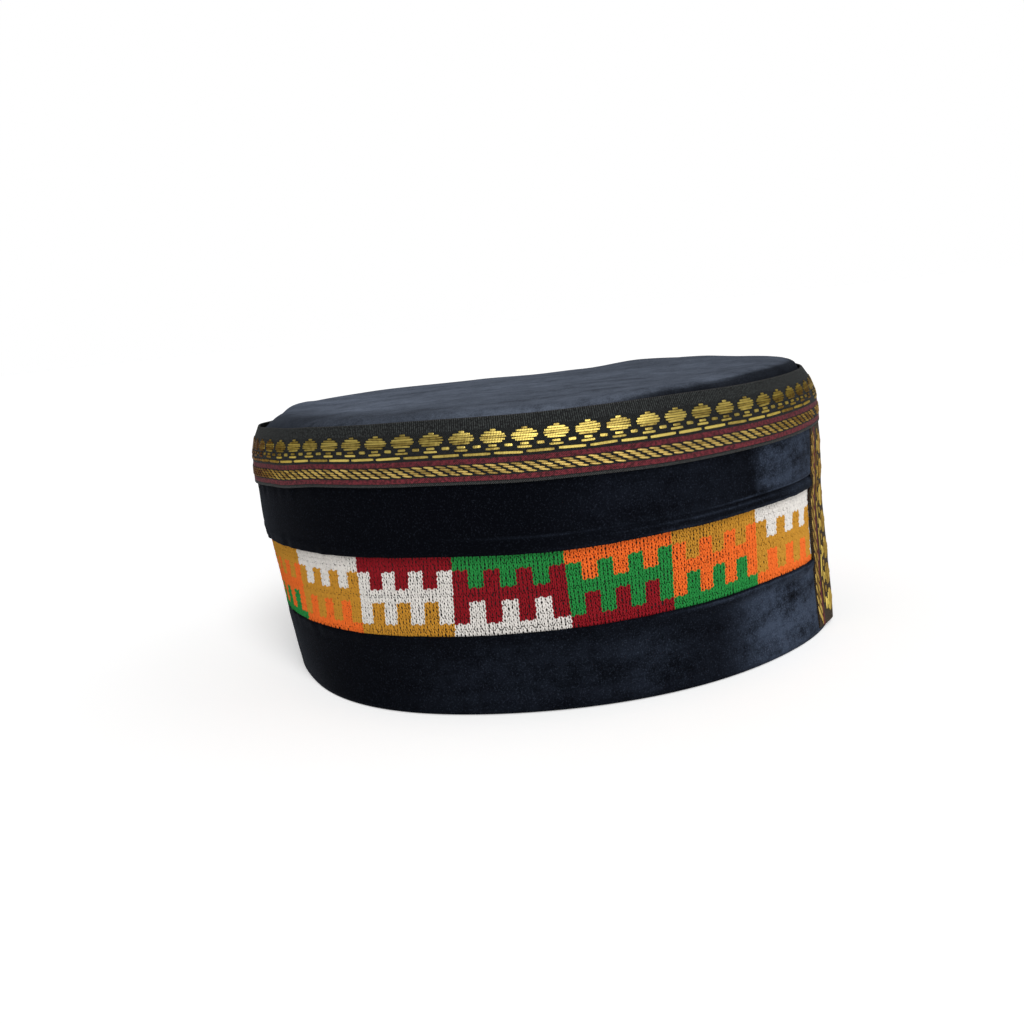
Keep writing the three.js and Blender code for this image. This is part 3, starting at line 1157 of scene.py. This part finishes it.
def layGold(where, start, end, brightAt, mapping):  # floats, then rope, on a length of ribbon
    gold = []
    for kind, charted, form in (("gold", ribbonFloats, "float"), ("rope", ribbonRope, "strand")):
        floats = charted(start, end)
        gold.append(laidFloats(kind + where, floats, form, brightAt(floats[:, 0]), mapping))
    return gold


goldThreads = {
    "gold": goldMaterial("gold_thread", "gold"),
    "paleGold": goldMaterial("pale_gold_thread", "paleGold"),
}

rimRibbon = {
    "flat": (0.613, 0.0188),
    "around": 540,
    "rowsAcross": 26,
    "measureSteps": 400,  # across its width
    "clothRadius": 97.5,
    "softEdge": {"width": 0.18, "parts": 2, "sharperThan": 60},
    "motifs": 71,
    "motifAngle": 111.5,  # a motif stands here
    "paintedGoldLight": table(  # painted shade: the gold is painted duller in places, most near the left end and towards the back
        "angle bright",
        (-180, 0.7), (-140, 0.95), (-20, 0.9), (36, 0.25), (48, 0.45), (62, 0.9), (80, 1),
        (146, 1), (164, 0.8), (180, 0.7),
    ),
}


def sewRimRibbon():
    look, cloth, shape = rimRibbon, ribbonCloth, wallShape
    heights = np.linspace(shape["ribbonTop"], shape["ribbonFoot"], look["measureSteps"])
    steps = np.hypot(np.diff(heights), np.diff(wallRadius(heights)))
    length = np.concatenate([[0], np.cumsum(steps)])  # down the ribbon from its top edge
    inner, outer = cloth["out"], cloth["out"] + cloth["thickness"]
    rows = np.interp(np.linspace(0, length[-1], look["rowsAcross"]), length, heights)
    section = [(float(wallRadius(h)) + outer, float(h)) for h in rows[::-1]]
    section += [(float(wallRadius(h)) + inner, float(h)) for h in rows]
    piece = turnedWall("ribbon_round_top", section, look["around"])
    bevel = piece.modifiers.new("softEdge", "BEVEL")
    bevel.width = look["softEdge"]["width"] * mm
    bevel.segments = look["softEdge"]["parts"]
    bevel.angle_limit = math.radians(look["softEdge"]["sharperThan"])
    bpy.ops.object.modifier_apply(modifier=bevel.name)
    wrapUv(piece, look["clothRadius"], lambda height: np.interp(height, heights[::-1], length[::-1]))
    movePoints(piece, settle(meshPoints(piece)))
    woven = ribbonGroundMaterial("ribbon_ground", cloth["ground"], cloth["groundFleck"])
    placePiece(piece, woven, "ribbon", "rim_ribbon")
    girth = cloth["motifPitch"] * look["motifs"]

    def angleAt(along):
        return along * 360 / girth + look["motifAngle"]

    def brightAt(along):
        return lookUp(look["paintedGoldLight"], angleAt(along), "bright", False)

    def laid(along, fromTop, out):
        return onWall(angleAt(along), np.interp(fromTop, length, heights), out + outer)

    cut = (180 - look["motifAngle"]) / 360 * girth  # the ends meet at the back seam
    gold = layGold("_round_top", cut - girth, cut, brightAt, laid)
    print("top ribbon sewn")


seamRibbon = {
    "flat": (0.016, 0.0655),
    "foot": 1.5,
    "top": 66.0,
    "width": 16.05,  # the rest is turned under
    "paintedGoldLight": table(  # painted shade: the gold is painted duller here, most at the top
        "height bright",
        (0, 0.9), (26, 0.7), (66, 0.56),
    ),
    "ground": rgb(34, 27, 20),  # browner than round the top
    "groundFleck": rgb(96, 76, 50),
    "acrossCount": 36,
    "upCount": 110,
    "softAngle": 50,
    "turnedEdge": table(
        "height angle",
        (0, 173.0), (22, 174.0), (48, 175.2), (66, 176.2),
    ),
    "edgeOut": -0.25,  # sewn down into the pile
    "climbFade": 3,
    "bridge": {"rise": 0.63, "curve": 0.77, "endFall": 8},
    "overTuck": table(  # its sewn edge climbs over the tuck
        "height out",
        (44.5, 0), (47, 0.75), (50, 0.75), (52.5, 0),
    ),
    "standsOff": table(  # it bridges the hollow of the wall, most towards its far side
        "height out",
        (0, 1.6), (14, 2.5), (30, 2.1), (48, 1.8), (60, 0.9), (66, 0.5),
    ),
}


def sewSeamRibbon():
    look, cloth, rule = seamRibbon, ribbonCloth, seamRibbon["bridge"]
    foot, top, width = look["foot"], look["top"], look["width"]
    bpy.ops.object.select_all(action="DESELECT")
    counts = {"x_subdivisions": look["acrossCount"], "y_subdivisions": look["upCount"]}
    bpy.ops.mesh.primitive_grid_add(size=1, **counts)
    piece = bpy.context.object
    piece.name = "ribbon_down_seam"

    def laid(along, fromTop, out):
        edge = lookUp(look["turnedEdge"], along, "angle")
        climb = lookUp(look["overTuck"], along, "out")
        standsOff = lookUp(look["standsOff"], along, "out")
        share = 1 - fromTop / width  # from the sewn edge
        bridge = share * (rule["rise"] + rule["curve"] * share) * (1 - share ** rule["endFall"])
        climb *= np.clip(1 - share, 0, 1) ** look["climbFade"]
        off = look["edgeOut"] + climb + standsOff * bridge
        angle = edge + np.degrees((width - fromTop) / wallShape["clothRadius"])
        return onWall(angle, along, out + off + cloth["thickness"])

    def brightAt(along):
        return lookUp(look["paintedGoldLight"], along, "bright", False)

    grid = meshPoints(piece) * mm
    fromTop = (0.5 - grid[:, 0]) * width
    height = foot + (grid[:, 1] + 0.5) * (top - foot)
    corners = cornerPoints(piece)
    piece.data.uv_layers.remove(piece.data.uv_layers[0])
    writeUv(piece, height[corners], fromTop[corners])
    movePoints(piece, laid(height, fromTop, np.zeros(len(height))))
    thicken(piece, cloth["thickness"])
    bpy.ops.object.shade_smooth_by_angle(angle=math.radians(look["softAngle"]))
    woven = ribbonGroundMaterial("seam_ribbon_ground", look["ground"], look["groundFleck"])
    placePiece(piece, woven, "ribbon", "seam_ribbon")
    gold = layGold("_down_seam", foot, top, brightAt, laid)
    print("seam ribbon sewn")


sewRimRibbon()
sewSeamRibbon()

# Studio
studio = {
    "white": (1, 1, 1, 1),
    "floorSize": 60,
    "floorDrop": 0.1,  # just below the rim
    "floorRoughness": 0.9,
    "floorColour": rgb(248, 248, 248),
    "floorGlow": 0.33,
    "daylight": 0.34,  # the white room as a light
    "backdrop": 1.0,  # and to the eye
    "lampHeight": 1,
    "lamps": table(  # wide soft lamps, by the side that they stand on and their height in degrees
        "name azimuth elevation softness power",
        ("key", 128, 46, 24, 1.3),
        ("front", 128, 16, 32, 1.0),
        ("right_side", 205, 38, 50, 0.22),
    ),
}


def setStudio():
    look = studio
    bpy.ops.object.select_all(action="DESELECT")
    bpy.ops.mesh.primitive_plane_add(size=look["floorSize"], location=(0, 0, -look["floorDrop"] * mm))
    floor = bpy.context.object
    floor.name = "floor"
    floor.data.materials.append(materialBench("pale_floor").finish(
        Base_Color=look["floorColour"],
        Roughness=look["floorRoughness"],
        Specular_IOR_Level=0,
        Emission_Color=look["white"],
        Emission_Strength=look["floorGlow"],
    ))
    for row in look["lamps"]:
        bpy.ops.object.light_add(type="SUN", location=(0, 0, look["lampHeight"]))
        lamp = bpy.context.object
        lamp.name = row["name"]
        lamp.data.energy = row["power"]
        lamp.data.angle = math.radians(row["softness"])
        turn, rise = math.radians(row["azimuth"]), math.radians(row["elevation"])
        level = math.cos(rise)
        towards = Vector((level * math.sin(turn), -level * math.cos(turn), math.sin(rise)))
        lamp.rotation_euler = towards.to_track_quat("Z", "Y").to_euler()
    room = Bench(bpy.data.worlds.new("white_room"), "Background")
    seen = room.node("ShaderNodeLightPath", {}, {}, "Is Camera Ray")
    ends = {"Value": seen, "To Min": look["daylight"], "To Max": look["backdrop"]}
    glow = room.node("ShaderNodeMapRange", {}, ends)
    bpy.context.scene.world = room.finish(Color=look["white"], Strength=glow)
    bpy.context.scene.view_settings.view_transform = "Standard"


cameraView = {
    "azimuth": 112,
    "distance": 382.5,  # from the middle of the rim
    "height": 109.7,
    "pan": 1.911,
    "tiltDown": 10.144,
    "roll": -6.226,
    "lens": 37.97,
    "sensor": 36,
    "nearest": 10,
}


def setCamera():
    view = cameraView
    turn = math.radians(view["azimuth"])
    x, y = view["distance"] * math.sin(turn), -view["distance"] * math.cos(turn)
    rimMiddle = wallShape["lean"] / 2
    bpy.ops.object.camera_add(location=(x * mm, (y + rimMiddle) * mm, view["height"] * mm))
    camera = bpy.context.object
    pan = Matrix.Rotation(math.radians(view["azimuth"] + view["pan"]), 3, "Z")
    tilt = Matrix.Rotation(math.radians(90 - view["tiltDown"]), 3, "X")
    roll = Matrix.Rotation(math.radians(view["roll"]), 3, "Z")
    camera.rotation_euler = (pan @ tilt @ roll).to_euler()
    camera.data.lens = view["lens"]
    camera.data.sensor_width = view["sensor"]
    camera.data.clip_start = view["nearest"] * mm
    bpy.context.scene.camera = camera


setStudio()
setCamera()
print("studio set")
